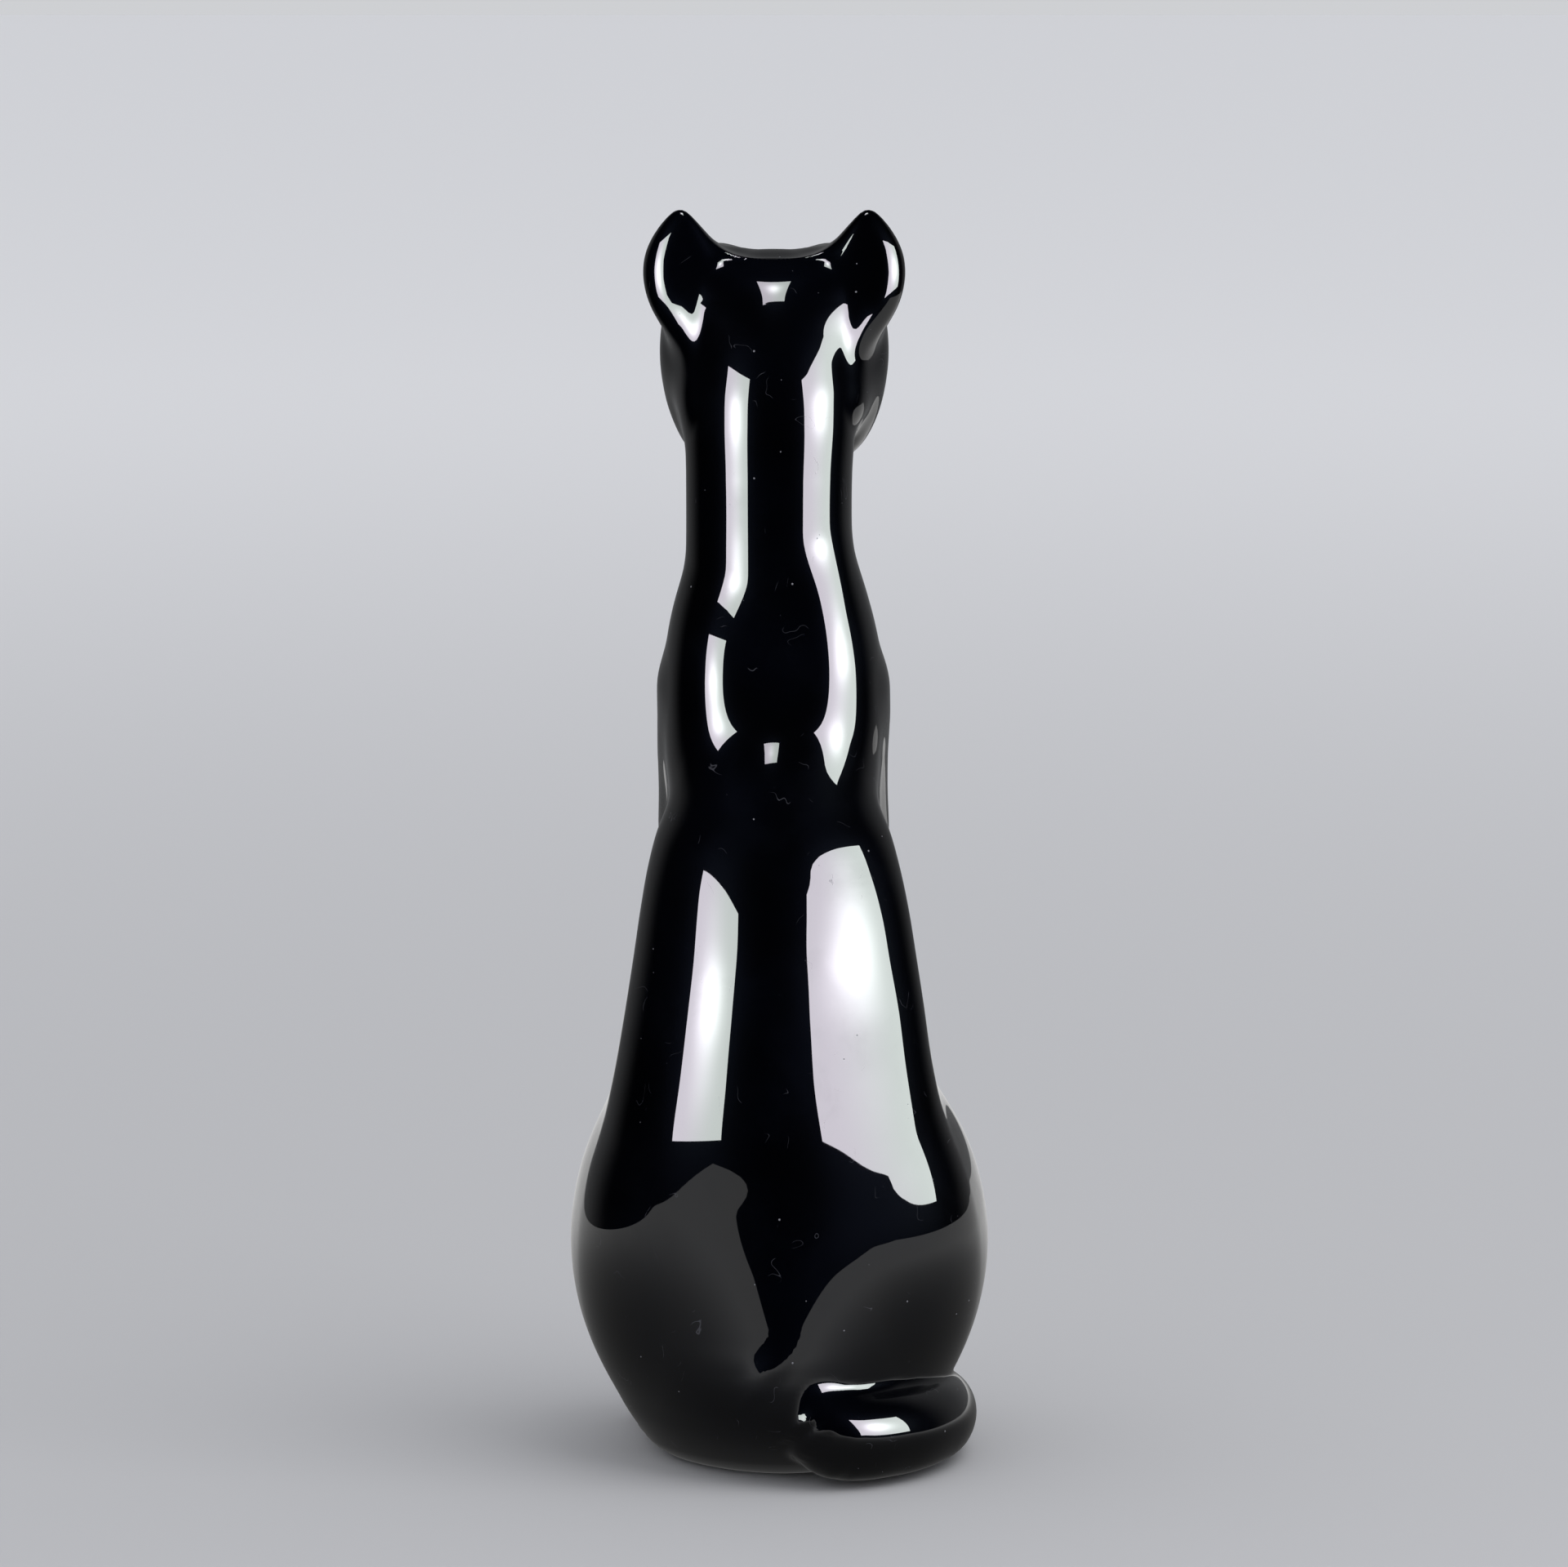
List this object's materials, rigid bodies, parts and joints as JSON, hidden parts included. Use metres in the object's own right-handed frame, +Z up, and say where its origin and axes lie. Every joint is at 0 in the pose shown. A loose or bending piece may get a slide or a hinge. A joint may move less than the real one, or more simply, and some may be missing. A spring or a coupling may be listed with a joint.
{
  "type": "cat figurine",
  "caption": "Tall, slender seated cat in polished solid black crystal, upright ears, tail curled round the right haunch, flat ground base.",
  "frame": {"origin": "centre of the footprint, on the flat ground base", "axes": "+Z up through the ears, -Y the way the cat faces, +X the cat's left"},
  "size_m": [0.0532, 0.0628, 0.1601],
  "materials": {
    "black_crystal": "polished, opaque black"
  },
  "bodies": {
    "root": {"body": "black_crystal", "left_ear": "black_crystal", "right_ear": "black_crystal", "left_foreleg": "black_crystal", "right_foreleg": "black_crystal", "tail": "black_crystal"}
  },
  "joints": []
}
